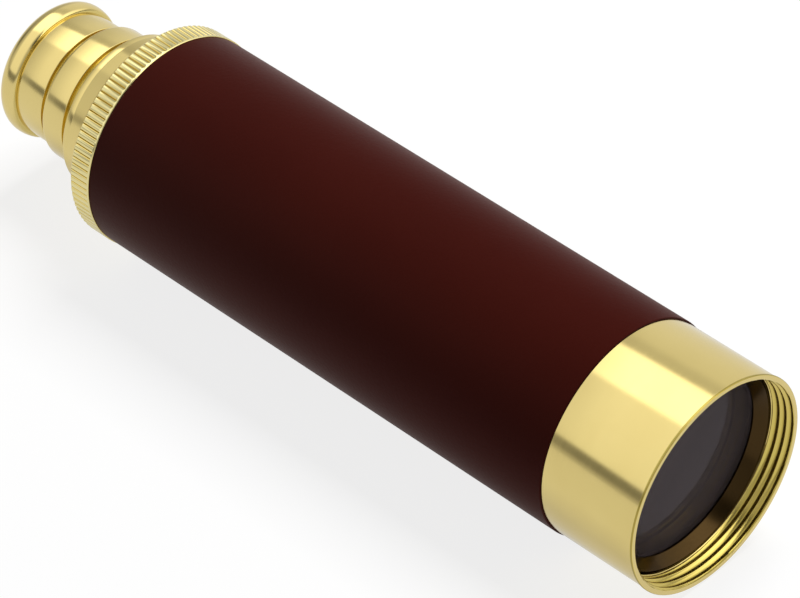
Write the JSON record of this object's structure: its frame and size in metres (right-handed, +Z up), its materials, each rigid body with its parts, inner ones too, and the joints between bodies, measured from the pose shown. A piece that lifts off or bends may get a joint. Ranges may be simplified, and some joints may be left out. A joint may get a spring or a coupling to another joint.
{
  "type": "telescope",
  "caption": "Closed pocket draw telescope: dark leather-covered barrel, polished brass ferrule with threaded mouth, knurled rear cap, sliding draws and rolled eyecup.",
  "frame": {"origin": "on the surface that the closed telescope lies on, midway along it, below the optical axis", "axes": "+X along the optical axis from the eyecup towards the objective, +Z up"},
  "size_m": [0.158, 0.0408, 0.0409],
  "materials": {
    "polished_brass": "polished, pale yellow, lacquered",
    "drawn_brass_tube": "bright drawn tube with fine lengthways lines",
    "plain_brass": "plain turned",
    "plain_alloy": "plain drawn tube",
    "blackened_metal": "matt black",
    "black_ring": "gloss black-brown",
    "coated_glass": "polished, coated",
    "clear_glass": "polished",
    "guide_nylon": "moulded, self-lubricating",
    "barrel_leather": "smooth matt dark maroon"
  },
  "bodies": {
    "barrel": {"main_tube": "plain_alloy", "leather_wrap": "barrel_leather", "objective_ferrule": "polished_brass", "objective_cell": "blackened_metal", "crown_lens": "coated_glass", "flint_lens": "coated_glass", "lens_retaining_ring": "black_ring", "barrel_baffle": "blackened_metal", "rear_knurled_cap": "polished_brass", "barrel_guide_bush": "guide_nylon"},
    "draw_1": {"draw_tube_1": "drawn_brass_tube", "collar_1": "polished_brass", "stop_ring_1": "guide_nylon"},
    "draw_2": {"draw_tube_2": "drawn_brass_tube", "collar_2": "polished_brass", "stop_ring_2": "guide_nylon"},
    "draw_3": {"draw_tube_3": "drawn_brass_tube", "eyepiece_housing": "polished_brass", "eyecup": "polished_brass", "stop_ring_3": "guide_nylon", "erector_cell": "plain_brass", "erector_retaining_ring": "blackened_metal", "erector_lens_front": "clear_glass", "erector_spacer_front": "blackened_metal", "erector_diaphragm": "blackened_metal", "erector_spacer_rear": "blackened_metal", "erector_lens_rear": "clear_glass", "field_lens_ring": "blackened_metal", "field_lens": "clear_glass", "eyepiece_spacer_front": "blackened_metal", "field_stop": "blackened_metal", "eyepiece_spacer_rear": "blackened_metal", "eye_lens_ring": "blackened_metal", "eye_lens": "clear_glass"}
  },
  "joints": [
    {"name": "draw_1_slide", "type": "slide", "parent": "barrel", "child": "draw_1", "axis": [-1, 0, 0], "range_m": [0, 0.068]},
    {"name": "draw_2_slide", "type": "slide", "parent": "draw_1", "child": "draw_2", "axis": [-1, 0, 0], "range_m": [0, 0.068]},
    {"name": "draw_3_slide", "type": "slide", "parent": "draw_2", "child": "draw_3", "axis": [-1, 0, 0], "range_m": [0, 0.068]}
  ]
}
